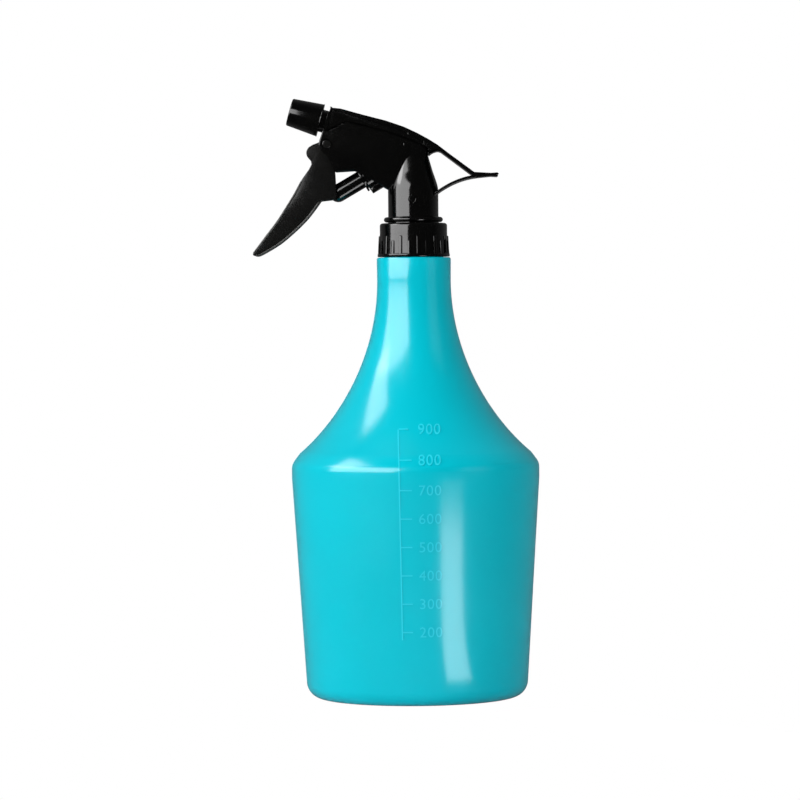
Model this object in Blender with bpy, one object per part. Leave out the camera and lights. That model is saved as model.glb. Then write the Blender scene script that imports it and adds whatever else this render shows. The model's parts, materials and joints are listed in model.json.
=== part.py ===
"""A one-litre trigger spray bottle, modelled piece by piece.

Dimensions are in millimetres and are turned into metres as each mesh is made. X and Z are counted
from the bottle's own axis and from the surface that it stands on; the sprayer points towards -X.
Local axes: a turned piece is drawn about its own +Z, then tilted onto its real axis.
"""
import math

import bmesh
import bpy
from mathutils import Matrix, Vector

MM = 0.001
AXIS_X = 8.15          # the bottle's axis, so that the whole object is centred on X = 0

# Bottle
BOTTLE_RADIUS = 55.1
BASE_RADIUS = 49.3
BASE_CORNER = 7.0
BASE_RING_INNER = 40.0
BASE_PUSH_UP = 5.0
WAIST_Z = 98.0
SHOULDER_START = (53.0, 107.8)
NECK_RADIUS = 16.3
NECK_Z = 186.0
BOTTLE_WALL = 1.1

# Neck finish, 28 mm, and the closure that screws onto it
FINISH_Z = 196.0
LIP_Z = 205.8
FINISH_ROOT = 12.55
FINISH_CREST = 13.7
MOUTH_RADIUS = 10.75
NECK_PITCH = 4.233
NECK_TURNS = 1.1
NECK_THREAD_Z = 199.9
THREAD_PHASE = 0.06    # every thread starts a little past +X
THREAD_BASE = 2.2
THREAD_TIP = 1.2
COLLAR_Z = 196.3
COLLAR_TOP = 211.3
COLLAR_RADIUS = 15.0
COLLAR_BORE = 14.2
COLLAR_CREST = 12.95
COLLAR_LIP = 11.65
COLLAR_ROOF = 209.6
RIM_RADIUS = 16.1
RIM_TOP = 197.7
RIBS = 24
RIB_RADIUS = (16.0, 15.6)
RIB_TOPS = (205.5, 203.4)

# Sprayer body
SHANK_RADIUS = 11.2
SHANK_TOP = 226.0
CONE_TOP = (6.3, 243.0)
SHANK_CAVITY = 9.7
CAVITY_TOP = 219.5
FLANGE_RADIUS = 12.4
FLANGE_Z = (207.6, 209.2)
BEAD_RADIUS = 13.15
CHEEK_INNER = 5.4
CHEEK_OUTER = 6.7
PASSAGE_RADIUS = 1.75

# Pump: its axis climbs towards +X from the piston's nose
PUMP_NOSE = (-33.6, 224.8)
PUMP_CLIMB = 30.0
PUMP_TILT = 90.0 - PUMP_CLIMB
CYLINDER_RADIUS = 6.2
CYLINDER_BORE = 5.2
MOUTH_AT = 13.4
BORE_END = 31.2
CYLINDER_END = 32.4
ROD_RADIUS = 4.0
NOSE_AT = 0.29
HEAD_AT = 17.5
HEAD_END = 22.5
HEAD_RADIUS = 4.9
SPRING_RADIUS = 2.3
SPRING_WIRE = 0.8
SPRING_FROM = 8.5
SPRING_TO = 30.7
SPRING_COILS = 9

# Trigger
PIVOT = (-38.3, 246.6)
TRUNNION_RADIUS = 2.0
TRUNNION_HALF = 6.5
TRIGGER_TOP_HALF = 5.1
TRIGGER_GRIP_HALF = 7.2
FLARE_Z = (233.0, 218.0)
TRIGGER_WALL = 1.3

# Nozzle: its axis leaves the body forwards and a little upwards
NOZZLE_BACK = (-40.96, 257.37)
NOZZLE_CLIMB = 15.9
NOZZLE_TILT = NOZZLE_CLIMB - 90.0
CAP_LENGTH = 14.4
CAP_BACK_RADIUS = 8.05
CAP_FRONT_RADIUS = 6.1
CAP_FLUTES = 12
NOZZLE_PITCH = 2.4
THROAT_RADIUS = 5.05

# Cover
COVER_HALF = 6.55
SKIRT_HALF = (4.8, 6.0)
TAIL_HALF = 6.4
FIT = 0.35             # the play left between pieces that meet

ROUND = 36
MID_ROUND = 24
SMALL_ROUND = 16
FACET_ANGLE = math.radians(35.0)


def material(name, colour, roughness, metallic=0.0):
    """A plain Principled finish."""
    finish = bpy.data.materials.new(name)
    finish.use_nodes = True
    shader = finish.node_tree.nodes["Principled BSDF"]
    shader.inputs["Base Color"].default_value = (*colour, 1.0)
    shader.inputs["Roughness"].default_value = roughness
    shader.inputs["Metallic"].default_value = metallic
    return finish


def arc(centre, radius, start, end, steps):
    """Points on an arc, with its angles in degrees."""
    turns = [math.radians(start + (end - start) * i / steps) for i in range(steps + 1)]
    return [(centre[0] + radius * math.cos(a), centre[1] + radius * math.sin(a)) for a in turns]


def bezier(start, pull, push, end, steps):
    """Points on a cubic curve between start and end."""
    points = []
    for i in range(steps + 1):
        t = i / steps
        weights = ((1 - t) ** 3, 3 * (1 - t) ** 2 * t, 3 * (1 - t) * t * t, t ** 3)
        corners = (start, pull, push, end)
        points.append(tuple(sum(w * c[k] for w, c in zip(weights, corners)) for k in (0, 1)))
    return points


def inset(outline, depth):
    """An open profile moved to its left side by depth."""
    moved = []
    for i, point in enumerate(outline):
        before = Vector(outline[max(i - 1, 0)])
        after = Vector(outline[min(i + 1, len(outline) - 1)])
        along = (after - before).normalized()
        moved.append((max(point[0] - along.y * depth, 0.0), point[1] + along.x * depth))
    return moved


def place(x, z, tilt=0.0):
    """Where a piece's origin goes, and how far its +Z leans towards +X."""
    spot = Matrix.Translation(((AXIS_X + x) * MM, 0.0, z * MM))
    return spot @ Matrix.Rotation(math.radians(tilt), 4, "Y")


UPRIGHT = place(0.0, 0.0)
ON_PUMP = place(*PUMP_NOSE, PUMP_TILT)
ON_NOZZLE = place(*NOZZLE_BACK, NOZZLE_TILT)
AT_PIVOT = place(*PIVOT)


def finish_object(name, bm, finish, where):
    """Turn a mesh drawn in millimetres into a named object in metres."""
    bmesh.ops.remove_doubles(bm, verts=bm.verts, dist=0.0005)
    bmesh.ops.recalc_face_normals(bm, faces=bm.faces)
    bmesh.ops.scale(bm, vec=(MM, MM, MM), verts=bm.verts)
    mesh = bpy.data.meshes.new(name)
    bm.to_mesh(mesh)
    bm.free()
    mesh.materials.append(finish)
    mesh.shade_smooth()
    mesh.set_sharp_from_angle(angle=FACET_ANGLE)
    piece = bpy.data.objects.new(name, mesh)
    bpy.context.scene.collection.objects.link(piece)
    piece.matrix_world = where
    return piece


def turned(name, outline, finish, where=UPRIGHT, segments=ROUND):
    """A closed (radius, height) outline spun about +Z."""
    bm = bmesh.new()
    corners = [bm.verts.new((r, 0.0, z)) for r, z in outline]
    edges = []
    for i, corner in enumerate(corners):
        after = corners[(i + 1) % len(corners)]
        if max(corner.co.x, after.co.x) > 1e-6:
            edges.append(bm.edges.new((corner, after)))
    bmesh.ops.spin(bm, geom=corners + edges, cent=(0, 0, 0), axis=(0, 0, 1),
                   angle=math.tau, steps=segments, use_merge=True)
    return finish_object(name, bm, finish, where)


def prism(outline, low, high):
    """A mesh with an (x, z) outline, from y = low to y = high."""
    bm = bmesh.new()
    face = bm.faces.new([bm.verts.new((x, low, z)) for x, z in outline])
    swept = bmesh.ops.extrude_face_region(bm, geom=[face])
    far = [v for v in swept["geom"] if isinstance(v, bmesh.types.BMVert)]
    bmesh.ops.translate(bm, vec=(0, high - low, 0), verts=far)
    return bm


def plate(name, outline, low, high, finish, where=UPRIGHT):
    """A flat plate cut to an (x, z) outline."""
    return finish_object(name, prism(outline, low, high), finish, where)


def rod(name, radius, low, high, finish, where, segments=MID_ROUND):
    """A plain round bar along its own +Z."""
    return turned(name, [(0, low), (radius, low), (radius, high), (0, high)], finish, where, segments)


def ridge(name, root, crest, base, tip, start, pitch, turns, finish, where, steps=18):
    """One screw thread ridge, sunk a little into the wall that carries it."""
    bm = bmesh.new()
    sink = root - math.copysign(0.4, crest - root)
    section = ((sink, -base / 2), (root, -base / 2), (crest, -tip / 2),
               (crest, tip / 2), (root, base / 2), (sink, base / 2))
    rings = []
    count = round(turns * steps)
    for i in range(count + 1):
        angle = THREAD_PHASE + math.tau * i / steps
        height = start + pitch * i / steps
        rings.append([bm.verts.new((r * math.cos(angle), r * math.sin(angle), height + z))
                      for r, z in section])
    for ring, after in zip(rings, rings[1:]):
        for k in range(len(section)):
            n = (k + 1) % len(section)
            bm.faces.new((ring[k], ring[n], after[n], after[k]))
    bm.faces.new(rings[0])
    bm.faces.new(rings[-1])
    return finish_object(name, bm, finish, where)


def shape(target, tool, operation):
    """Join a hidden tool to a piece, or cut it away."""
    tool.hide_render = True
    tool.display_type = "WIRE"
    step = target.modifiers.new(tool.name, "BOOLEAN")
    step.operation = operation
    step.solver = "EXACT"
    step.object = tool
    return target


def join(target, tool):
    return shape(target, tool, "UNION")


def cut(target, tool):
    return shape(target, tool, "DIFFERENCE")


def bottle_outline(shoulder_steps):
    """The bottle's outside, from the middle of its base up to the neck's top."""
    corner = arc((BASE_RADIUS - BASE_CORNER, BASE_CORNER), BASE_CORNER, -90, -5, 3)
    waist = arc((BOTTLE_RADIUS - 6.0, 102.2), 6.0, 0, 36, 2)
    shoulder = bezier(SHOULDER_START, (33.2, 123.8), (NECK_RADIUS, 153.0), (NECK_RADIUS, NECK_Z),
                      shoulder_steps)
    return ([(0.0, BASE_PUSH_UP), (24.0, 4.2), (38.0, 2.0), (BASE_RING_INNER, 0.0)] + corner
            + [(BOTTLE_RADIUS, WAIST_Z)] + waist + shoulder[1:] + [(NECK_RADIUS + 0.1, FINISH_Z - 0.5)])


def make_bottle(finish):
    outside = bottle_outline(9)
    inside = inset(bottle_outline(7), BOTTLE_WALL)
    inside[-1] = (NECK_RADIUS - BOTTLE_WALL, FINISH_Z - 3.0)
    neck = [(NECK_RADIUS - 0.5, FINISH_Z), (FINISH_ROOT, FINISH_Z), (FINISH_ROOT, LIP_Z),
            (MOUTH_RADIUS, LIP_Z), (MOUTH_RADIUS, FINISH_Z - 1.0)]
    bottle = turned("bottle", outside + neck + inside[::-1], finish)
    thread = ridge("bottle_thread", FINISH_ROOT, FINISH_CREST, THREAD_BASE, THREAD_TIP, NECK_THREAD_Z,
                   NECK_PITCH, NECK_TURNS, finish, UPRIGHT)
    return join(bottle, thread)


def make_collar(finish):
    outline = [(COLLAR_BORE, COLLAR_Z), (RIM_RADIUS, COLLAR_Z), (RIM_RADIUS, RIM_TOP),
               (COLLAR_RADIUS + 0.2, RIM_TOP), (COLLAR_RADIUS, COLLAR_TOP - 1.2),
               (COLLAR_RADIUS - 0.4, COLLAR_TOP - 0.4), (COLLAR_RADIUS - 1.2, COLLAR_TOP),
               (COLLAR_LIP, COLLAR_TOP), (COLLAR_LIP, COLLAR_ROOF), (COLLAR_BORE, COLLAR_ROOF)]
    collar = turned("closure_collar", outline, finish)
    thread = ridge("collar_thread", COLLAR_BORE, COLLAR_CREST, THREAD_BASE, THREAD_TIP,
                   NECK_THREAD_Z - NECK_PITCH / 2, NECK_PITCH, NECK_TURNS, finish, UPRIGHT)
    return join(join(collar, thread), make_ribs(finish))


def make_ribs(finish):
    """The grip ribs, long and short in turn."""
    bm = bmesh.new()
    half = 0.75
    for i in range(RIBS):
        turn = Matrix.Rotation(math.tau * (i + 0.5) / RIBS, 4, "Z")
        top = RIB_TOPS[i % 2]
        low, high = RIB_RADIUS
        corners = [(14.6, -half, RIM_TOP - 0.4), (low, -half, RIM_TOP - 0.4),
                   (high, -half, top), (14.6, -half, top)]
        near = [bm.verts.new(turn @ Vector(c)) for c in corners]
        far = [bm.verts.new(turn @ Vector((c[0], half, c[2]))) for c in corners]
        bm.faces.new(near)
        bm.faces.new(far[::-1])
        for k in range(4):
            n = (k + 1) % 4
            bm.faces.new((near[k], far[k], far[n], near[n]))
    return finish_object("collar_ribs", bm, finish, UPRIGHT)


def make_gasket(finish):
    outline = [(10.0, 206.1), (12.5, 206.1), (12.5, 207.3), (10.0, 207.3)]
    return turned("neck_gasket", outline, finish)


CHEEK_OUTLINE = [
    (-40.0, 252.6), (-37.2, 252.6), (-30.4, 255.9), (-29.2, 256.1), (-20.8, 254.2), (-11.9, 251.7),
    (-5.2, 249.4), (0.1, 247.3), (3.7, 245.5), (6.3, 243.3), (5.0, 239.0), (3.0, 230.0), (-9.0, 228.0),
    (-10.6, 226.0), (-25.9, 234.8), (-34.8, 234.3), (-36.2, 238.0), (-37.6, 241.0), (-39.6, 242.8),
    (-41.3, 244.2), (-41.9, 246.2), (-41.5, 248.2)]


def make_pump_body(finish):
    neck = [(SHANK_CAVITY, FLANGE_Z[0]), (FLANGE_RADIUS, FLANGE_Z[0]), (FLANGE_RADIUS, FLANGE_Z[1]),
            (COLLAR_LIP - FIT, FLANGE_Z[1]), (COLLAR_LIP - FIT, 211.7)]
    neck += arc((BEAD_RADIUS - 1.15, 212.85), 1.15, -80, 80, 4)
    neck += [(SHANK_RADIUS, 214.2), (SHANK_RADIUS, SHANK_TOP), (8.8, 234.4), CONE_TOP,
             (0, CONE_TOP[1]), (0, CAVITY_TOP), (SHANK_CAVITY, CAVITY_TOP)]
    body = turned("pump_body", neck, finish)
    join(body, rod("cylinder_wall", CYLINDER_RADIUS, MOUTH_AT, CYLINDER_END, finish, ON_PUMP, MID_ROUND))
    for side in (-1, 1):
        near, far = sorted((side * CHEEK_INNER, side * CHEEK_OUTER))
        join(body, plate(f"cheek_{'left' if side < 0 else 'right'}", CHEEK_OUTLINE, near, far, finish))
    bulkhead = [(-34.0, 244.0), (-32.4, 244.0), (-32.4, 252.0), (-34.0, 252.0)]
    join(body, plate("bulkhead", bulkhead, -5.9, 5.9, finish))
    gusset = [(-18.6, 229.5), (-19.0, 226.6), (-17.8, 224.7), (-12.5, 227.8), (-12.5, 231.0)]
    join(body, plate("mouth_gusset", gusset, -2.5, 2.5, finish))
    join(body, rod("tube_socket", 3.7, -38.2, -29.5, finish, ON_NOZZLE))
    spine = [(-12.0, 242.0), (-2.0, 241.0), (-3.5, 247.0), (-12.0, 249.0)]
    join(body, plate("socket_rib", spine, -1.2, 1.2, finish))
    cut(body, rod("cylinder_bore", CYLINDER_BORE, 5.0, BORE_END, finish, ON_PUMP, MID_ROUND))
    cut(body, rod("socket_bore", 2.9, -37.6, -20.0, finish, ON_NOZZLE))
    cut(body, rod("inlet_passage", PASSAGE_RADIUS, 215.0, 238.0, finish, UPRIGHT, 16))
    cut(body, rod("chamber_inlet", 1.2, 0.0, 5.4, finish, place(0.0, 236.6, -90.0), 12))
    cut(body, rod("chamber_outlet", 1.0, 0.0, 6.0, finish, place(-8.6, 242.4), 12))
    cut(body, rod("trunnion_seats", TRUNNION_RADIUS + 0.3, -9.0, 9.0, finish,
                  AT_PIVOT @ Matrix.Rotation(math.pi / 2, 4, "X")))
    return body


TOP_LINE = [
    (-36.9, 263.6), (-31.9, 262.3), (-22.1, 259.5), (-11.9, 256.8), (-3.9, 254.0), (1.9, 251.25),
    (6.8, 248.55), (11.0, 245.9), (16.1, 241.95), (27.2, 233.65)]
TONGUE = [(28.4, 233.2), (34.7, 233.2), (37.5, 233.4), (38.5, 232.5), (37.5, 231.6), (34.7, 231.8)]
STRAP_UNDERSIDE = [
    (28.3, 231.2), (25.2, 233.0), (16.0, 240.0), (9.9, 244.6), (5.8, 247.1), (1.0, 249.6), (-4.7, 252.3),
    (-12.5, 255.0), (-22.6, 257.9), (-32.3, 260.8), (-35.9, 261.8)]
SKIRT_OUTLINE = [
    (-39.5, 253.1), (-37.3, 253.1), (-30.5, 256.4), (-29.1, 256.6), (-20.7, 254.7), (-11.8, 252.2),
    (-5.1, 249.9), (0.3, 247.8), (3.9, 246.0), (5.6, 244.8), (5.4, 248.4), (1.4, 250.6), (-3.9, 253.2),
    (-11.9, 256.0), (-22.1, 258.8), (-31.9, 261.6), (-36.4, 262.6), (-37.9, 258.6)]
TAIL_WALL = [
    (6.9, 241.1), (9.0, 242.5), (11.0, 243.1), (12.5, 242.7), (14.2, 241.3), (14.2, 242.6), (8.6, 246.7),
    (4.6, 248.8), (4.6, 246.0), (6.9, 244.2)]


def make_cover(finish):
    cover = plate("top_cover", TOP_LINE + TONGUE + STRAP_UNDERSIDE, -COVER_HALF, COVER_HALF, finish)
    front = [(-37.2, 263.4), (-38.2, 258.6), (-39.6, 252.9), (-38.1, 252.9), (-36.6, 258.6),
             (-35.6, 263.0)]
    join(cover, plate("cover_front", front, -COVER_HALF, COVER_HALF, finish))
    brow = [(-39.2, 254.3), (-41.0, 249.2), (-39.5, 249.2), (-37.7, 254.3)]
    join(cover, plate("cover_front_foot", brow, 0.3 - CHEEK_INNER, CHEEK_INNER - 0.3, finish))
    for side in (-1, 1):
        near, far = sorted((side * SKIRT_HALF[0], side * SKIRT_HALF[1]))
        join(cover, plate(f"skirt_{'left' if side < 0 else 'right'}", SKIRT_OUTLINE, near, far, finish))
        near, far = sorted((side * SKIRT_HALF[0], side * TAIL_HALF))
        join(cover, plate(f"tail_wall_{'left' if side < 0 else 'right'}", TAIL_WALL, near, far, finish))
    web = bezier((13.6, 241.9), (12.0, 243.6), (9.6, 243.3), (7.2, 241.2), 4)
    join(cover, plate("tail_web", web + inset(web, -1.3)[::-1], -SKIRT_HALF[1], SKIRT_HALF[1], finish))
    strut = bezier((28.8, 231.2), (21.75, 230.45), (15.5, 227.8), (8.4, 222.2), 8)
    join(cover, plate("tail_strut", strut + inset(strut, -1.4)[::-1], -TAIL_HALF, TAIL_HALF, finish))
    clear = [(0, 214.0), (SHANK_RADIUS + FIT, 214.0), (SHANK_RADIUS + FIT, SHANK_TOP + 0.1),
             (8.8 + FIT, 234.5), (CONE_TOP[0] + FIT, CONE_TOP[1] + FIT), (0, CONE_TOP[1] + FIT)]
    cut(cover, turned("neck_clearance", clear, finish))
    cut(cover, rod("nozzle_opening", THROAT_RADIUS + FIT, -4.4, 3.0, finish, ON_NOZZLE, MID_ROUND))
    return cover


def trigger_half_width(height):
    """Half the trigger's width: narrow between the cheeks, wide at the grip."""
    high, low = FLARE_Z
    part = min(max((high - height) / (high - low), 0.0), 1.0)
    return TRIGGER_TOP_HALF + part * (TRIGGER_GRIP_HALF - TRIGGER_TOP_HALF)


def flared_plate(name, outline, thinner, finish):
    """A plate about the trigger's middle that follows the trigger's width."""
    bm = prism(outline, -1.0, 1.0)
    for height in FLARE_Z:
        parts = bm.verts[:] + bm.edges[:] + bm.faces[:]
        bmesh.ops.bisect_plane(bm, geom=parts, plane_co=(0, 0, height), plane_no=(0, 0, 1))
    for vert in bm.verts:
        vert.co.y *= trigger_half_width(vert.co.z) - thinner
    bmesh.ops.translate(bm, vec=(-PIVOT[0], 0, -PIVOT[1]), verts=bm.verts)
    return finish_object(name, bm, finish, AT_PIVOT)


TRIGGER_OUTLINE = [
    (-44.5, 246.4), (-46.3, 245.3), (-47.3, 243.5), (-47.0, 241.3), (-45.1, 237.7), (-50.0, 230.2),
    (-53.2, 224.4), (-56.8, 218.6), (-60.9, 212.4), (-65.0, 207.1), (-69.0, 201.8), (-71.4, 198.8),
    (-71.4, 197.8), (-70.4, 197.1), (-68.2, 197.3), (-63.2, 200.4), (-58.8, 203.0), (-55.2, 205.9),
    (-50.7, 209.7), (-46.6, 213.9), (-43.0, 218.5), (-40.3, 221.6), (-35.4, 222.0), (-34.1, 222.9),
    (-34.6, 233.6), (-35.2, 237.5), (-36.4, 241.5)]
TRIGGER_POCKET = [
    (-43.4, 239.2), (-48.3, 230.2), (-51.5, 224.4), (-55.1, 218.6), (-59.2, 212.5), (-63.3, 207.1),
    (-66.3, 203.2), (-62.0, 198.5), (-55.0, 199.0), (-45.0, 207.0), (-30.0, 216.0), (-30.0, 238.0),
    (-36.0, 240.6), (-40.6, 241.6)]


def make_trigger(finish):
    boss = arc(PIVOT, TRUNNION_RADIUS + 0.6, -20, 150, 8)
    trigger = flared_plate("trigger", TRIGGER_OUTLINE + boss, 0.0, finish)
    cut(trigger, flared_plate("trigger_pocket", TRIGGER_POCKET, TRIGGER_WALL, finish))
    push_wall = [(-39.4, 222.4), (-37.9, 222.4), (-37.9, 232.0), (-39.4, 232.0)]
    join(trigger, flared_plate("push_wall", push_wall, TRIGGER_WALL - 0.3, finish))
    stiffener = [(-51.6, 226.2), (-38.7, 226.2), (-38.7, 227.7), (-50.8, 227.7)]
    join(trigger, plate("stiffener", [(x - PIVOT[0], z - PIVOT[1]) for x, z in stiffener],
                        -0.75, 0.75, finish, AT_PIVOT))
    across = AT_PIVOT @ Matrix.Rotation(math.pi / 2, 4, "X")
    return join(trigger, rod("trunnions", TRUNNION_RADIUS, -TRUNNION_HALF, TRUNNION_HALF, finish, across))


def make_piston(finish):
    nose = arc((0, NOSE_AT), ROD_RADIUS, -90, 0, 5)
    outline = nose + [(ROD_RADIUS, HEAD_AT), (HEAD_RADIUS, HEAD_AT), (HEAD_RADIUS, HEAD_AT + 1.0),
                      (3.9, HEAD_AT + 1.0), (3.9, HEAD_END - 1.0), (HEAD_RADIUS, HEAD_END - 1.0),
                      (HEAD_RADIUS, HEAD_END), (3.1, HEAD_END), (3.1, 8.0), (0, 8.0)]
    return turned("piston", outline, finish, ON_PUMP, MID_ROUND)


def make_piston_seal(finish):
    low, high = HEAD_AT + 1.3, HEAD_END - 1.3
    outline = [(4.2, low), (4.7, low), (4.9, (low + high) / 2), (4.7, high), (4.2, high)]
    return turned("piston_seal", outline, finish, ON_PUMP, MID_ROUND)


def make_cylinder_guide(finish):
    outline = [(4.3, 12.2), (6.1, 12.2), (6.1, 13.1), (4.85, 13.1), (4.85, 16.6), (4.3, 16.6)]
    return turned("cylinder_guide", outline, finish, ON_PUMP, MID_ROUND)


def coil(name, radius, wire, start, end, coils, finish, where):
    """A compression spring along its own +Z."""
    steps = 10
    curve = bpy.data.curves.new(name, "CURVE")
    curve.dimensions = "3D"
    curve.bevel_depth = wire / 2 * MM
    curve.bevel_resolution = 1
    curve.use_fill_caps = True
    line = curve.splines.new("POLY")
    count = coils * steps
    line.points.add(count)
    for i, point in enumerate(line.points):
        angle = math.tau * i / steps
        height = start + wire / 2 + (end - start - wire) * i / count
        spot = (radius * math.cos(angle) * MM, radius * math.sin(angle) * MM, height * MM)
        point.co = (*spot, 1.0)
    curve.materials.append(finish)
    spring = bpy.data.objects.new(name, curve)
    bpy.context.scene.collection.objects.link(spring)
    spring.matrix_world = where
    return spring


def make_inlet_housing(finish):
    """The plug in the shank: it holds the dip tube below and the inlet ball above."""
    outline = [(2.75, 196.5), (3.6, 196.5), (3.6, 209.0), (9.3, 209.0), (9.3, 211.0), (4.0, 211.0),
               (4.0, 219.1), (1.4, 219.1), (1.4, 216.4), (2.6, 216.4), (2.6, 211.4), (1.2, 210.0),
               (1.2, 208.2), (2.75, 208.2)]
    return turned("inlet_housing", outline, finish, UPRIGHT, SMALL_ROUND)


def make_ball(name, radius, height, finish, where):
    profile = arc((0, 0), radius, -90, 90, 8)
    return turned(name, profile, finish, where @ Matrix.Translation((0, 0, height * MM)), 16)


def make_dip_tube(finish):
    outline = [(1.6, 12.5), (2.4, 12.5), (2.4, 207.8), (1.6, 207.8)]
    return turned("dip_tube", outline, finish, UPRIGHT, 16)


def make_strainer(finish):
    outline = [(0, 8.6), (2.9, 8.6), (3.5, 9.4), (3.5, 22.0), (2.75, 22.0), (2.75, 10.0), (0, 10.0)]
    strainer = turned("strainer", outline, finish, UPRIGHT, 16)
    for i in range(2):
        slot = [(-5.0, 10.6), (5.0, 10.6), (5.0, 11.9), (-5.0, 11.9)]
        turn = UPRIGHT @ Matrix.Rotation(math.pi / 2 * i, 4, "Z")
        cut(strainer, plate(f"strainer_slot_{i + 1}", slot, -0.7, 0.7, finish, turn))
    return strainer


def make_discharge_tube(finish):
    """The tube from the pump to the nozzle, with the threaded barrel at its front."""
    outline = [(1.3, -37.2), (2.5, -37.2), (2.5, -6.2), (4.4, -6.2), (4.4, -3.2), (THROAT_RADIUS, -3.0),
               (THROAT_RADIUS, 0.6), (4.0, 0.6), (4.0, 4.8), (3.0, 4.8), (3.0, 9.6), (2.6, 9.6),
               (2.6, -3.6), (1.3, -4.9)]
    tube = turned("discharge_tube", outline, finish, ON_NOZZLE, MID_ROUND)
    return join(tube, ridge("barrel_thread", 4.0, 4.75, 1.1, 0.5, 1.4, NOZZLE_PITCH, 1.0, finish,
                            ON_NOZZLE))


def make_outlet_valve(finish):
    outline = [(0, -4.6), (1.0, -4.2), (2.2, -3.0), (2.2, -2.2), (0.9, -2.2), (0.9, 0.2), (0, 0.2)]
    return turned("outlet_valve", outline, finish, ON_NOZZLE, 16)


def make_swirl_spinner(finish):
    outline = [(0, 4.2), (1.9, 4.2), (2.25, 4.6), (2.25, 9.6), (0, 9.6)]
    spinner = turned("swirl_spinner", outline, finish, ON_NOZZLE, SMALL_ROUND)
    groove = [(0.5, 3.0), (1.1, 3.0), (1.1, 12.0), (0.5, 12.0)]
    for i in range(2):
        turn = ON_NOZZLE @ Matrix.Rotation(math.pi * i, 4, "Z")
        cut(spinner, plate(f"swirl_groove_{i + 1}", groove, 1.5, 4.0, finish, turn))
    return spinner


def make_nozzle_seal(finish):
    return turned("nozzle_seal", arc((3.95, 6.7), 0.55, 0, 315, 7), finish, ON_NOZZLE, SMALL_ROUND)


def make_cap(finish):
    """The adjusting cap: a short cone with V-shaped flutes towards its back."""
    front, back = CAP_LENGTH, CAP_BACK_RADIUS
    outline = [(5.4, 0.0), (back - 0.4, 0.0), (back, 0.4), (CAP_FRONT_RADIUS + 0.1, front - 0.6),
               (CAP_FRONT_RADIUS - 0.5, front), (2.4, front), (2.4, front - 0.9), (0.6, front - 0.9),
               (0.6, 10.9), (3.4, 10.9), (3.4, 7.6), (4.85, 7.6), (4.85, 5.8), (5.1, 5.8), (5.1, 1.0),
               (5.4, 1.0)]
    cap = turned("nozzle_cap", outline, finish, ON_NOZZLE)
    join(cap, ridge("cap_thread", 5.1, 4.35, 1.1, 0.5, 2.6, NOZZLE_PITCH, 1.0, finish, ON_NOZZLE))
    bm = bmesh.new()
    for i in range(CAP_FLUTES):
        turn = Matrix.Rotation(math.tau * (i + 0.5) / CAP_FLUTES, 4, "Z")
        root = bm.verts.new(turn @ Vector((6.65, 0.0, -1.0)))
        tip = bm.verts.new(turn @ Vector((7.2, 0.0, 8.4)))
        flank = [bm.verts.new(turn @ Vector((8.9, side * 1.9, -1.0))) for side in (-1, 1)]
        bm.faces.new((root, flank[0], tip))
        bm.faces.new((root, tip, flank[1]))
        bm.faces.new((flank[0], flank[1], tip))
        bm.faces.new((root, flank[1], flank[0]))
    return cut(cap, finish_object("cap_flutes", bm, finish, ON_NOZZLE))


def build():
    for old in list(bpy.data.objects):
        bpy.data.objects.remove(old, do_unlink=True)
    turquoise = material("turquoise_bottle", (0.0, 0.52, 0.62), 0.35)
    black = material("black_moulding", (0.012, 0.012, 0.013), 0.22)
    natural = material("natural_moulding", (0.78, 0.79, 0.77), 0.45)
    rubber = material("seal_rubber", (0.03, 0.03, 0.03), 0.7)
    steel = material("spring_steel", (0.6, 0.6, 0.61), 0.3, 1.0)

    make_bottle(turquoise)
    make_collar(black)
    make_gasket(natural)
    make_pump_body(black)
    make_cover(black)
    make_trigger(black)
    make_piston(black)
    make_piston_seal(rubber)
    make_cylinder_guide(black)
    coil("return_spring", SPRING_RADIUS, SPRING_WIRE, SPRING_FROM, SPRING_TO, SPRING_COILS, steel, ON_PUMP)
    make_inlet_housing(natural)
    make_ball("inlet_ball", 2.0, 212.0, steel, UPRIGHT)
    make_dip_tube(natural)
    make_strainer(natural)
    make_discharge_tube(black)
    make_outlet_valve(natural)
    coil("outlet_spring", 1.7, 0.45, -1.9, 3.9, 4, steel, ON_NOZZLE)
    make_swirl_spinner(natural)
    make_nozzle_seal(rubber)
    make_cap(black)


build()
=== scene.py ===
"""A one-litre trigger spray bottle with its finished surfaces.

Outlines are drawn in millimetres: X is counted from the bottle's own axis, Z from the surface that the
bottle stands on, and the sprayer points towards -X. Turned pieces are drawn as (radius, height) about
their own axis. An outline's corner may carry a third number, the radius that it is rounded with.
"""
import json
import math

import bmesh
import bpy
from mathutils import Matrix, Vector


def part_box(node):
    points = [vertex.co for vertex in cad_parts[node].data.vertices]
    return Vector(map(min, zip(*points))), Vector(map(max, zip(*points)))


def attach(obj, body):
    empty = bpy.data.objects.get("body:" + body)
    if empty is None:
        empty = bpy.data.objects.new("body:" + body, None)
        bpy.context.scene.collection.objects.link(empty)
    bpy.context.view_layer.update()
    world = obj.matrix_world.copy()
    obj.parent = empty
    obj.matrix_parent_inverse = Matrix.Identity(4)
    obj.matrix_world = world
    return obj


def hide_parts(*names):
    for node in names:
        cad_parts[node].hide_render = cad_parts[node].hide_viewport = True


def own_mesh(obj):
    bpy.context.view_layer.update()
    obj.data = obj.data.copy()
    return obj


MM = 0.001

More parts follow.
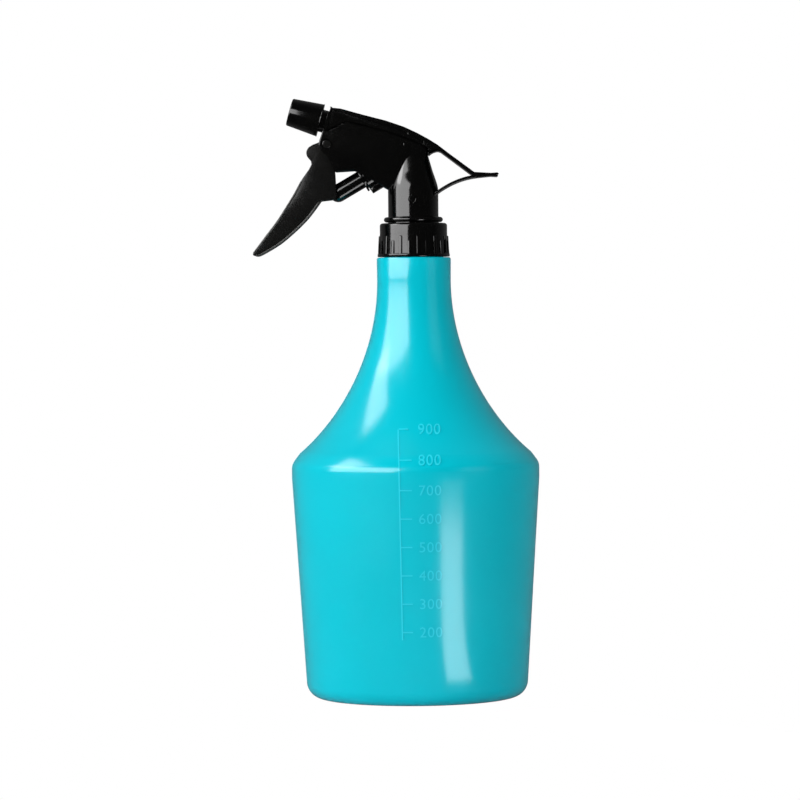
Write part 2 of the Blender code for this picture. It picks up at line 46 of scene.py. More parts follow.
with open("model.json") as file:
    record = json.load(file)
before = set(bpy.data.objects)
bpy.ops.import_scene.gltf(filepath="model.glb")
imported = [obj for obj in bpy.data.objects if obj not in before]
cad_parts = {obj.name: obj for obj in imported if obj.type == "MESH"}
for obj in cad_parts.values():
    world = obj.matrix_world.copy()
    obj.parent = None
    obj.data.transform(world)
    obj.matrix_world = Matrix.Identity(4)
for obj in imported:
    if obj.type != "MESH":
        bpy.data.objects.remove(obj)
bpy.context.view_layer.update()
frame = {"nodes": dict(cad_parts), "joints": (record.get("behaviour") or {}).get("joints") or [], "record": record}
joints = {joint["name"]: joint for joint in frame["joints"]}


def middle(node):
    low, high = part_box(node)
    return (low + high) / 2


AXIS_X = middle("closure_collar").x


class Spindle:
    """An axis in the bottle's middle plane that pieces are turned about."""

    def __init__(self, origin, along):
        self.origin = Vector(origin)
        self.along = Vector(along).normalized()
        self.across = Vector((self.along.z, 0.0, -self.along.x))
        self.side = self.along.cross(self.across)

    def at(self, radius, height, turn=0.0):
        outwards = self.across * math.cos(turn) + self.side * math.sin(turn)
        return self.origin + (outwards * radius + self.along * height) * MM


UPRIGHT = Spindle((AXIS_X, 0.0, 0.0), (0, 0, 1))
SEAL_AT = 20.0         # the piston seal's middle, counted along the pump from the piston's nose
PUMP_WAY = Vector(joints["piston_stroke"]["axis"])
PUMP = Spindle(middle("piston_seal") - PUMP_WAY * SEAL_AT * MM, PUMP_WAY)
NOZZLE = Spindle(joints["nozzle_turn"]["pos_m"], joints["nozzle_turn"]["axis"])
PIVOT_SPOT = Vector(joints["trigger_squeeze"]["pos_m"])
PIVOT = ((PIVOT_SPOT.x - AXIS_X) / MM, PIVOT_SPOT.z / MM)

# Bottle
BOTTLE_RADIUS = 55.1
BASE_RADIUS = 49.3
BASE_CORNER = 7.0
BASE_RING_INNER = 40.0
BASE_PUSH_UP = 5.0
WAIST_Z = 98.0
SHOULDER_START = (53.0, 107.8)
NECK_RADIUS = 16.3
NECK_Z = 186.0
BOTTLE_WALL = 1.1
PARTING_HEIGHT = 0.12
PARTING_WIDTH = 0.35

# Neck finish and its closure
FINISH_Z = 196.0
LIP_Z = 205.8
FINISH_ROOT = 12.55
FINISH_CREST = 13.7
MOUTH_RADIUS = 10.75
NECK_PITCH = 4.233
NECK_TURNS = 1.1
NECK_THREAD_Z = 199.9
COLLAR_Z = 196.3
COLLAR_TOP = 211.3
COLLAR_RADIUS = 15.0
COLLAR_BORE = 14.2
COLLAR_LIP = 11.65
COLLAR_ROOF = 209.6
RIM_RADIUS = 16.1
RIM_TOP = 197.7
RIBS = 24
RIB_RADIUS = (16.0, 15.6)
RIB_TOPS = (205.5, 203.4)
RIB_HALF = 0.75

# Sprayer body
SHANK_RADIUS = 11.2
SHANK_TOP = 226.0
CONE_FOOT = (8.8, 234.4)
CONE_TOP = (6.3, 243.0)
SHANK_CAVITY = 9.7
CAVITY_TOP = 219.5
FLANGE_RADIUS = 12.4
FLANGE_Z = (207.6, 209.2)
BEAD_RADIUS = 13.15
BEAD_Z = 212.85
CHEEK_INNER = 5.4
CHEEK_OUTER = 6.7
INNER_RIB_HALF = (3.9, 4.5)
GATE_MARK = (-3.8, 246.1)
GATE_RING = (-0.5, 221.9)
GATE_RING_RADIUS = 1.7
FIT = 0.35             # the play left between pieces that meet

# Pump
CYLINDER_RADIUS = 6.2
CYLINDER_BORE = 5.2
MOUTH_AT = 13.4
BORE_END = 31.2
CYLINDER_END = 32.4
ROD_RADIUS = 4.0
NOSE_AT = 0.29
HEAD_AT = 17.5
HEAD_END = 22.5
HEAD_RADIUS = 4.9
SPRING_RADIUS = 2.3
SPRING_WIRE = 0.8
SPRING_FROM = 8.5
SPRING_TO = 30.7
SPRING_COILS = 9
VALVE_SPRING_RADIUS = 1.7
VALVE_SPRING_WIRE = 0.45
VALVE_SPRING_FROM = -1.9
VALVE_SPRING_TO = 3.9
VALVE_SPRING_COILS = 4

# Trigger
TRUNNION_RADIUS = 2.0
TRUNNION_HALF = 6.5
TRIGGER_TOP_HALF = 5.1
TRIGGER_GRIP_HALF = 7.2
FLARE_Z = (233.0, 218.0)
TRIGGER_WALL = 1.3
FRONT_BEAD = 0.85
REAR_BEAD = 0.75
BEAD_HALF = 0.35

# Nozzle
CAP_LENGTH = 14.4
CAP_BACK_RADIUS = 8.05
CAP_FRONT_RADIUS = 6.1
CAP_FLUTES = 12
FLUTE_ROOT = 6.65
FLUTE_RIM = 8.9
FLUTE_HALF = 1.9
FLUTE_TIP = (7.2, 8.4)
THROAT_RADIUS = 5.05

# Cover
COVER_HALF = 6.55
SKIRT_HALF = (4.8, 6.0)
TAIL_HALF = 6.4
SNAP_LUG = (-1.9, 251.0)
SNAP_LUG_RADIUS = 0.62

# Scale on the bottle's front
SCALE_TOP_Z = 120.4
SCALE_STEP = 12.35
SCALE_700_Z = 94.4
SCALE_800_Z = SCALE_700_Z + SCALE_STEP + 0.6
SCALE_LINE = ((-6.2, 29.5), (-7.3, 120.4))
SCALE_LIFT = 0.28
SCALE_WIDTH = 0.55
TICK_WIDTH = 0.5
TICK_END = -1.9
TOP_TICK_END = -3.2
NUMBER_X = 5.9
DIGIT_HEIGHT = 4.4
CAP_HEIGHT = 0.69      # a capital's height in the typeface, for a size of one
DRAWN_AT = -80.0       # where the flat scale is drawn, in front of the wall that it is laid onto

SMOOTH_ANGLE = math.radians(32.0)

# Studio
FLOOR_TONE = 0.8
ROOM_FRONT = 0.03
ROOM_BACK = 0.14
REFLECTOR_REACH = (0.085, 0.65)
REFLECTOR_TURNS = (22.0, 42.0)
REFLECTOR_GLOW = 5.0
AIM_HEIGHT = 0.14      # where the softboxes point, in metres above the floor
CAMERA_LENS = 171.5
CAMERA_LEFT = 6.33     # the camera's place: millimetres to the left of the bottle's axis
CAMERA_AWAY = 1.7      # and metres in front of it
CAMERA_HEIGHT = 0.1726
CAMERA_DIP = 1.35      # degrees
CAMERA_ROLL = 0.52


# ---------------------------------------------------------------- outlines

def arc(centre, radius, start, end, steps):
    """Points on an arc, with its angles in degrees."""
    turns = [math.radians(start + (end - start) * i / steps) for i in range(steps + 1)]
    return [(centre[0] + radius * math.cos(a), centre[1] + radius * math.sin(a)) for a in turns]


def bezier(start, pull, push, end, steps):
    """Points on a cubic curve between start and end."""
    points = []
    for i in range(steps + 1):
        t = i / steps
        weights = ((1 - t) ** 3, 3 * (1 - t) ** 2 * t, 3 * (1 - t) * t * t, t ** 3)
        corners = (start, pull, push, end)
        points.append(tuple(sum(w * c[k] for w, c in zip(weights, corners)) for k in (0, 1)))
    return points


def flow(knots, steps=4):
    """A smooth line through given knots."""
    points = []
    last = len(knots) - 1
    for i in range(last):
        before, start = Vector(knots[max(i - 1, 0)]), Vector(knots[i])
        end, after = Vector(knots[i + 1]), Vector(knots[min(i + 2, last)])
        pull, push = start + (end - before) / 6, end - (after - start) / 6
        points += bezier(start, pull, push, end, steps)[:-1]
    return points + [tuple(knots[-1])]


def inset(outline, depth):
    """An open line moved to its left side by depth."""
    moved = []
    for i, point in enumerate(outline):
        before = Vector(outline[max(i - 1, 0)])
        after = Vector(outline[min(i + 1, len(outline) - 1)])
        along = (after - before).normalized()
        moved.append((point[0] - along.y * depth, point[1] + along.x * depth))
    return moved


def rounded(outline):
    """A closed outline, with the corners that carry a radius turned into arcs."""
    points = []
    for i, corner in enumerate(outline):
        here = Vector(corner[:2])
        radius = corner[2] if len(corner) > 2 else 0.0
        if not radius:
            points.append(tuple(here))
            continue
        before = (Vector(outline[i - 1][:2]) - here).normalized()
        after = (Vector(outline[(i + 1) % len(outline)][:2]) - here).normalized()
        half = before.angle(after) / 2
        centre = here + (before + after).normalized() * radius / math.sin(half)
        first = here + before * radius / math.tan(half) - centre
        sweep = math.pi - 2 * half
        if first.cross(after) < 0:
            sweep = -sweep
        start = math.degrees(math.atan2(first.y, first.x))
        steps = max(2, round(abs(math.degrees(sweep)) / 15))
        points += arc(centre, radius, start, start + math.degrees(sweep), steps)
    return points


# ---------------------------------------------------------------- modelling steps

def spot(x, y, z):
    """A point given in millimetres from the bottle's axis."""
    return Vector((AXIS_X + x * MM, y * MM, z * MM))


def deselect():
    bpy.ops.object.select_all(action="DESELECT")


def begin(name, place):
    """A single loose point in edit mode, to be extruded along an outline."""
    deselect()
    bpy.ops.mesh.primitive_plane_add(size=MM, location=place)
    piece = bpy.context.object
    piece.name = name
    bpy.ops.object.transform_apply(location=True, rotation=False, scale=False)
    bpy.ops.object.mode_set(mode="EDIT")
    bpy.ops.mesh.select_mode(type="VERT")
    bpy.ops.mesh.merge(type="CENTER")
    return piece


def trace(points):
    """Extrude the selected point from place to place."""
    for here, there in zip(points, points[1:]):
        bpy.ops.mesh.extrude_region_move(TRANSFORM_OT_translate={"value": there - here})


def close_up():
    """Merge what meets and turn every face outwards, then leave edit mode."""
    bpy.ops.mesh.select_all(action="SELECT")
    bpy.ops.mesh.remove_doubles(threshold=0.002 * MM)
    bpy.ops.mesh.normals_make_consistent(inside=False)
    bpy.ops.object.mode_set(mode="OBJECT")


def lathe(name, spindle, outline, steps=96):
    """Spin a closed (radius, height) outline into a turned piece."""
    points = [spindle.at(max(r, 0.0), h) for r, h in rounded(outline)]
    if outline[0][0] > 0 or outline[-1][0] > 0:
        points.append(points[0])
    piece = begin(name, points[0])
    trace(points)
    bpy.ops.mesh.select_all(action="SELECT")
    bpy.ops.mesh.spin(steps=steps, dupli=False, angle=math.tau, center=spindle.origin, axis=spindle.along)
    close_up()
    return piece


def bar(name, spindle, radius, low, high, steps=64, edge=0.0):
    """A round bar on a spindle, with rounded ends if it has an edge radius."""
    outline = [(0, low), (radius, low, edge), (radius, high, edge), (0, high)]
    return lathe(name, spindle, outline, steps)


def pick_edges(piece, test):
    """Select the edges that pass a test, in edit mode."""
    bpy.ops.mesh.select_mode(type="EDGE")
    bpy.ops.mesh.select_all(action="DESELECT")
    mesh = bmesh.from_edit_mesh(piece.data)
    for edge in mesh.edges:
        edge.select_set(len(edge.link_faces) == 2 and test(edge))
    bmesh.update_edit_mesh(piece.data)


def is_rim(edge):
    """Where a plate's flat side meets the face round its edge."""
    first, second = (abs(face.normal.y) > 0.7 for face in edge.link_faces)
    return first != second


def plate(name, outline, low, high, edge=0.25, segments=2):
    """Extrude an (x, z) outline from y = low to y = high, and bevel its rims."""
    points = [spot(x, low, z) for x, z in rounded(outline)]
    piece = begin(name, points[0])
    trace(points)
    bpy.ops.mesh.select_all(action="SELECT")
    bpy.ops.mesh.edge_face_add()
    bpy.ops.mesh.extrude_region_move(TRANSFORM_OT_translate={"value": (0, (high - low) * MM, 0)})
    bpy.ops.mesh.select_all(action="SELECT")
    bpy.ops.mesh.normals_make_consistent(inside=False)
    if edge:
        pick_edges(piece, is_rim)
        bpy.ops.mesh.bevel(offset=edge * MM, segments=segments, affect="EDGES", clamp_overlap=True)
    close_up()
    return piece


def activate(piece):
    deselect()
    piece.select_set(True)
    bpy.context.view_layer.objects.active = piece


def apply_modifier(piece, kind, **settings):
    activate(piece)
    step = piece.modifiers.new(kind.lower(), kind)
    for setting, value in settings.items():
        setattr(step, setting, value)
    bpy.ops.object.modifier_apply(modifier=step.name)


def cut(piece, tool):
    """Cut a tool's shape away, and remove the tool."""
    apply_modifier(piece, "BOOLEAN", operation="DIFFERENCE", solver="EXACT", object=tool)
    bpy.data.objects.remove(tool, do_unlink=True)
    return piece


def gather(name, parts):
    """Join finished parts into one piece."""
    deselect()
    for part in parts:
        part.select_set(True)
    bpy.context.view_layer.objects.active = parts[0]
    bpy.ops.object.join()
    parts[0].name = name
    return parts[0]


def settle(piece, place, rotation=(0, 0, 0)):
    """Put a piece drawn at the world's origin where it belongs, and apply that."""
    activate(piece)
    piece.location = place
    piece.rotation_euler = rotation
    bpy.ops.object.transform_apply(location=True, rotation=True, scale=True)
    return piece


def finish(piece, coat, body, *nodes):
    """Give a piece its finish and its body, in place of the plain nodes that it stands for."""
    activate(piece)
    piece.data.materials.clear()
    piece.data.materials.append(coat)
    bpy.ops.object.shade_smooth_by_angle(angle=SMOOTH_ANGLE)
    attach(piece, body)
    if nodes:
        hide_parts(*nodes)
    return piece


# ---------------------------------------------------------------- finishes

def start_finish(name, slot, roughness, metallic=0.0):
    coat = bpy.data.materials.new(name)
    coat.use_nodes = True
    coat["slot"] = slot
    shader = coat.node_tree.nodes["Principled BSDF"]
    shader.inputs["Roughness"].default_value = roughness
    shader.inputs["Metallic"].default_value = metallic
    return coat, shader


def noise(coat, scale, detail=4.0, stretch=(1, 1, 1)):
    """Noise over the piece's own place, in metres."""
    tree = coat.node_tree
    coords = tree.nodes.new("ShaderNodeTexCoord")
    mapping = tree.nodes.new("ShaderNodeMapping")
    mapping.inputs["Scale"].default_value = stretch
    texture = tree.nodes.new("ShaderNodeTexNoise")
    texture.inputs["Scale"].default_value = scale
    texture.inputs["Detail"].default_value = detail
    tree.links.new(coords.outputs["Object"], mapping.inputs["Vector"])
    tree.links.new(mapping.outputs["Vector"], texture.inputs["Vector"])
    return texture.outputs["Fac"]


def spread(coat, source, low, high):
    """A value between low and high that follows a texture."""
    tree = coat.node_tree
    remap = tree.nodes.new("ShaderNodeMapRange")
    remap.inputs["From Min"].default_value = 0.3
    remap.inputs["From Max"].default_value = 0.7
    remap.inputs["To Min"].default_value = low
    remap.inputs["To Max"].default_value = high
    tree.links.new(source, remap.inputs["Value"])
    return remap.outputs["Result"]


def tint(coat, shader, source, first, second):
    """Let the colour drift between two near tones."""
    tree = coat.node_tree
    ramp = tree.nodes.new("ShaderNodeValToRGB")
    ramp.color_ramp.elements[0].position = 0.35
    ramp.color_ramp.elements[0].color = (*first, 1.0)
    ramp.color_ramp.elements[1].position = 0.65
    ramp.color_ramp.elements[1].color = (*second, 1.0)
    tree.links.new(source, ramp.inputs["Fac"])
    tree.links.new(ramp.outputs["Color"], shader.inputs["Base Color"])


def relief(coat, shader, layers):
    """Stack bump layers: (texture, strength, depth in metres)."""
    tree = coat.node_tree
    normal = None
    for source, strength, depth in layers:
        bump = tree.nodes.new("ShaderNodeBump")
        bump.inputs["Strength"].default_value = strength
        bump.inputs["Distance"].default_value = depth
        tree.links.new(source, bump.inputs["Height"])
        if normal:
            tree.links.new(normal, bump.inputs["Normal"])
        normal = bump.outputs["Normal"]
    tree.links.new(normal, shader.inputs["Normal"])


def scuffs(coat, scale, stretch):
    """Sparse hairline marks."""
    tree = coat.node_tree
    streaks = noise(coat, scale, 2.0, stretch)
    remap = tree.nodes.new("ShaderNodeMapRange")
    remap.inputs["From Min"].default_value = 0.66
    remap.inputs["From Max"].default_value = 0.74
    tree.links.new(streaks, remap.inputs["Value"])
    return remap.outputs["Result"]


def make_turquoise(name, low, high):
    """Blow-moulded polyethylene: even colour, a soft gloss and a faintly wavy skin."""
    coat, shader = start_finish(name, "turquoise_bottle", 0.3)
    tint(coat, shader, noise(coat, 22.0, 1.0), low, high)
    tree = coat.node_tree
    tree.links.new(spread(coat, noise(coat, 60.0, 1.0), 0.16, 0.2), shader.inputs["Roughness"])
    shader.inputs["IOR"].default_value = 1.5
    relief(coat, shader, [(noise(coat, 30.0, 1.0), 0.2, 0.0003), (noise(coat, 1400.0, 1.0), 0.03, 0.00002)])
    return coat


def make_black(name, tone, smoothest, roughest):
    """Injection-moulded polypropylene with light handling marks."""
    coat, shader = start_finish(name, "black_moulding", 0.15)
    tint(coat, shader, noise(coat, 60.0), (tone, tone, tone), (1.6 * tone, 1.6 * tone, 1.5 * tone))
    tree = coat.node_tree
    gloss = spread(coat, noise(coat, 300.0, 2.0), smoothest, roughest)
    tree.links.new(gloss, shader.inputs["Roughness"])
    shader.inputs["IOR"].default_value = 1.49
    relief(coat, shader, [(noise(coat, 90.0, 1.0), 0.08, 0.0002),
                          (scuffs(coat, 900.0, (1.0, 1.0, 0.06)), 0.03, 0.00002),
                          (noise(coat, 3200.0, 1.0), 0.02, 0.00001)])
    return coat


def make_natural():
    """Uncoloured satin polyethylene."""
    coat, shader = start_finish("natural_polyethylene", "natural_moulding", 0.42)
    tint(coat, shader, noise(coat, 80.0), (0.74, 0.75, 0.72), (0.8, 0.81, 0.79))
    tree = coat.node_tree
    tree.links.new(spread(coat, noise(coat, 400.0), 0.36, 0.48), shader.inputs["Roughness"])
    relief(coat, shader, [(noise(coat, 1800.0, 3.0), 0.1, 0.00004)])
    return coat


def make_rubber():
    """Matt black seal rubber with a fine grain."""
    coat, shader = start_finish("seal_rubber", "seal_rubber", 0.7)
    tint(coat, shader, noise(coat, 200.0), (0.018, 0.018, 0.018), (0.03, 0.03, 0.03))
    tree = coat.node_tree
    tree.links.new(spread(coat, noise(coat, 900.0), 0.6, 0.8), shader.inputs["Roughness"])
    relief(coat, shader, [(noise(coat, 4000.0, 4.0), 0.2, 0.00004)])
    return coat


def make_steel():
    """Drawn stainless wire."""
    coat, shader = start_finish("spring_steel", "spring_steel", 0.28, 1.0)
    tint(coat, shader, noise(coat, 500.0), (0.5, 0.5, 0.51), (0.64, 0.64, 0.65))
    tree = coat.node_tree
    tree.links.new(spread(coat, noise(coat, 1500.0), 0.2, 0.36), shader.inputs["Roughness"])
    relief(coat, shader, [(noise(coat, 5000.0, 2.0), 0.08, 0.00001)])
    return coat


TURQUOISE = make_turquoise("turquoise_polyethylene", (0.0, 0.52, 0.635), (0.0, 0.54, 0.66))
# The scale is moulded in the bottle's own turquoise. Its lighter tone here is a painted highlight for the glints
# that its raised strokes catch.
SCALE_PAINTED_HIGHLIGHT_TURQUOISE = make_turquoise("painted_highlight_turquoise", (0.02, 0.66, 0.79), (0.03, 0.68, 0.81))
BLACK = make_black("black_polypropylene", 0.0012, 0.09, 0.14)
SATIN_BLACK = make_black("satin_black_polypropylene", 0.0042, 0.12, 0.16)
# A lighter black for the trigger's edge beads: a painted highlight for the thin light lines along their rims.
RIM_PAINTED_HIGHLIGHT_BLACK = make_black("painted_highlight_edge_black", 0.03, 0.16, 0.22)
NATURAL = make_natural()
RUBBER = make_rubber()
STEEL = make_steel()


# ---------------------------------------------------------------- bottle

def bottle_outline():
    """The bottle's outside, from the middle of its base up to the neck's top."""
    base = bezier((0.0, BASE_PUSH_UP), (16.0, 5.0), (34.0, 3.4), (BASE_RING_INNER - 1.2, 0.5), 10)
    corner = arc((BASE_RADIUS - BASE_CORNER, BASE_CORNER), BASE_CORNER, -90, -4, 10)
    waist = arc((BOTTLE_RADIUS - 6.0, 102.2), 6.0, 0, 36, 8)
    shoulder = bezier(SHOULDER_START, (33.2, 123.8), (NECK_RADIUS, 153.0), (NECK_RADIUS, NECK_Z), 40)
    return (base + [(BASE_RING_INNER, 0.0)] + corner + [(BOTTLE_RADIUS - 2.0, 67.0)]
            + [(BOTTLE_RADIUS, WAIST_Z)] + waist + shoulder[1:] + [(NECK_RADIUS + 0.1, FINISH_Z - 0.5)])


def thread_ridge(name, root, crest, base, tip, start, pitch, turns):
    """A screw thread wound up the bottle's axis from one cross-section."""
    section = [(root - 0.4, -base / 2), (root, -base / 2), (crest, -tip / 2), (crest, tip / 2),
               (root, base / 2), (root - 0.4, base / 2)]
    points = [Vector((r * MM, 0, (start + h) * MM)) for r, h in section]
    piece = begin(name, points[0])
    trace(points)
    bpy.ops.mesh.select_all(action="SELECT")
    bpy.ops.mesh.edge_face_add()
    bpy.ops.object.mode_set(mode="OBJECT")
    steps = round(turns * 72)
    apply_modifier(piece, "SCREW", angle=math.tau * turns, screw_offset=pitch * turns * MM,
                   steps=steps, render_steps=steps, iterations=1, use_merge_vertices=False)
    bpy.ops.object.mode_set(mode="EDIT")
    close_up()
    return settle(piece, (AXIS_X, 0, 0))


def make_bottle():
    outside = bottle_outline()
    inside = [(max(r, 0.0), h) for r, h in inset(outside, BOTTLE_WALL)]
    inside[-1] = (NECK_RADIUS - BOTTLE_WALL, FINISH_Z - 3.0)
    neck = [(NECK_RADIUS - 0.2, FINISH_Z, 0.2), (FINISH_ROOT, FINISH_Z, 0.3), (FINISH_ROOT, LIP_Z, 0.3),
            (MOUTH_RADIUS, LIP_Z, 0.3), (MOUTH_RADIUS, FINISH_Z - 1.0)]
    bottle = lathe("bottle_shell", UPRIGHT, outside + neck + inside[::-1], 160)
    thread = thread_ridge("neck_thread", FINISH_ROOT, FINISH_CREST, 2.2, 1.2, NECK_THREAD_Z, NECK_PITCH,
                          NECK_TURNS)
    side = [point for point in outside if point[1] > 0.3 and point[0] > BASE_RING_INNER or point[1] > 20]
    proud = inset(side, -PARTING_HEIGHT)
    sunk = inset(side, 0.5)
    lines = [plate("parting_line_right", proud + sunk[::-1], -PARTING_WIDTH / 2, PARTING_WIDTH / 2, 0.08)]
    mirrored = [(-x, z) for x, z in proud + sunk[::-1]]
    lines.append(plate("parting_line_left", mirrored, -PARTING_WIDTH / 2, PARTING_WIDTH / 2, 0.08))
    return gather("bottle_body", [bottle, thread] + lines)


def scale_strip(name, points, across, width):
    """A flat strip, drawn point by point and widened."""
    piece = begin(name, points[0])
    trace(points)
    bpy.ops.mesh.select_all(action="SELECT")
    bpy.ops.mesh.extrude_region_move(TRANSFORM_OT_translate={"value": across * width * MM})
    bpy.ops.object.mode_set(mode="OBJECT")
    return piece


def scale_number(value, height):
    """A number in plain figures, standing at its tick's height."""
    deselect()
    bpy.ops.object.text_add(location=(0, 0, 0))
    figures = bpy.context.object
    figures.data.body = str(value)
    figures.data.size = DIGIT_HEIGHT / CAP_HEIGHT * MM
    figures.data.align_x = "CENTER"
    figures.data.align_y = "CENTER"
    figures.data.space_character = 1.08
    figures.data.resolution_u = 4
    figures.name = f"figures_{value}"
    bpy.ops.object.convert(target="MESH")
    return settle(bpy.context.object, spot(NUMBER_X, DRAWN_AT, height), (math.pi / 2, 0, 0))


def make_scale(wall):
    """The moulded scale: a line with ticks and numbers, laid onto the wall."""
    (foot_x, foot_z), (top_x, top_z) = SCALE_LINE
    count = 60
    line = [spot(foot_x + (top_x - foot_x) * i / count, DRAWN_AT, foot_z + (top_z - foot_z) * i / count)
            for i in range(count + 1)]
    strips = [scale_strip("scale_line", line, Vector((-1, 0, 0)), SCALE_WIDTH)]
    heights = {900: SCALE_TOP_Z, 800: SCALE_800_Z}
    for step in range(6):
        heights[700 - 100 * step] = SCALE_700_Z - SCALE_STEP * step
    for value, height in heights.items():
        start = foot_x + (top_x - foot_x) * (height - foot_z) / (top_z - foot_z)
        end = TICK_END if value < 900 else TOP_TICK_END
        tick = [spot(start + (end - start) * i / 4, DRAWN_AT, height) for i in range(5)]
        strips.append(scale_strip(f"tick_{value}", tick, Vector((0, 0, 1)), TICK_WIDTH))
        strips.append(scale_number(value, height))
    scale = gather("volume_scale", strips)
    apply_modifier(scale, "SHRINKWRAP", target=wall, wrap_method="PROJECT", use_project_y=True,
                   use_positive_direction=True, use_negative_direction=False)
    apply_modifier(scale, "SOLIDIFY", thickness=2 * SCALE_LIFT * MM, offset=0.0, use_even_offset=False)
    return scale


# ---------------------------------------------------------------- collar

def make_collar():
    outline = [(COLLAR_BORE, COLLAR_Z, 0.2), (RIM_RADIUS, COLLAR_Z, 0.35), (RIM_RADIUS, RIM_TOP, 0.3),
               (COLLAR_RADIUS + 0.25, RIM_TOP, 0.2), (COLLAR_RADIUS + 0.1, 203.8),
               (COLLAR_RADIUS, 206.6), (COLLAR_RADIUS, COLLAR_TOP, 1.2), (COLLAR_LIP, COLLAR_TOP, 0.3),
               (COLLAR_LIP, COLLAR_ROOF, 0.2), (COLLAR_BORE, COLLAR_ROOF)]
    parts = [lathe("collar_shell", UPRIGHT, outline, 144)]
    low, high = RIB_RADIUS
    for i in range(RIBS):
        top = RIB_TOPS[i % 2]
        side = [(14.6, RIM_TOP - 0.4), (low, RIM_TOP - 0.4), (high, top, 0.35), (14.6, top + 0.25)]
        points = [Vector((r * MM, -RIB_HALF * MM, h * MM)) for r, h in rounded(side)]
        rib = begin(f"rib_{i + 1}", points[0])
        trace(points)
        bpy.ops.mesh.select_all(action="SELECT")
        bpy.ops.mesh.edge_face_add()
        bpy.ops.mesh.extrude_region_move(TRANSFORM_OT_translate={"value": (0, 2 * RIB_HALF * MM, 0)})
        bpy.ops.mesh.select_all(action="SELECT")
        bpy.ops.mesh.normals_make_consistent(inside=False)
        pick_edges(rib, is_rim)
        bpy.ops.mesh.bevel(offset=0.3 * MM, segments=2, affect="EDGES", clamp_overlap=True)
        close_up()
        parts.append(settle(rib, (AXIS_X, 0, 0), (0, 0, math.tau * (i + 0.5) / RIBS)))
    parts.append(thread_ridge("collar_thread", COLLAR_BORE + 0.4, 12.95, 2.2, 1.2,
                              NECK_THREAD_Z - NECK_PITCH / 2, NECK_PITCH, NECK_TURNS))
    return gather("screw_collar", parts)


# ---------------------------------------------------------------- sprayer body

CHEEK_OUTLINE = [
    (-40.0, 252.6, 0.4), (-37.2, 252.6, 0.4), (-30.4, 255.9, 0.8), (-29.2, 256.1, 0.4),
    (-20.8, 254.2), (-11.9, 251.7), (-5.2, 249.4), (0.1, 247.3), (3.7, 245.5), (6.3, 243.3, 0.8),
    (5.0, 239.0), (3.0, 230.0), (-9.0, 228.0), (-10.6, 226.0), (-25.9, 234.8, 0.6), (-34.8, 234.3, 1.2),
    (-36.2, 238.0), (-37.6, 241.0), (-39.6, 242.8), (-41.3, 244.2), (-41.9, 246.2, 1.0), (-41.5, 248.2)]


INNER_RIB = [
    (-31.8, 260.3), (-22.4, 257.5), (-12.4, 254.6), (-4.8, 251.9), (0.9, 249.2), (5.0, 247.0), (6.2, 243.6),
    (-3.6, 247.0), (-13.0, 249.5), (-22.0, 252.0), (-31.8, 252.3)]


def across(origin):
    """A spindle through origin, from the near side to the far side."""
    spindle = Spindle(origin, (0, 0, 1))
    spindle.along = Vector((0, 1, 0))
    spindle.side = Vector((0, 0, 1))
    return spindle


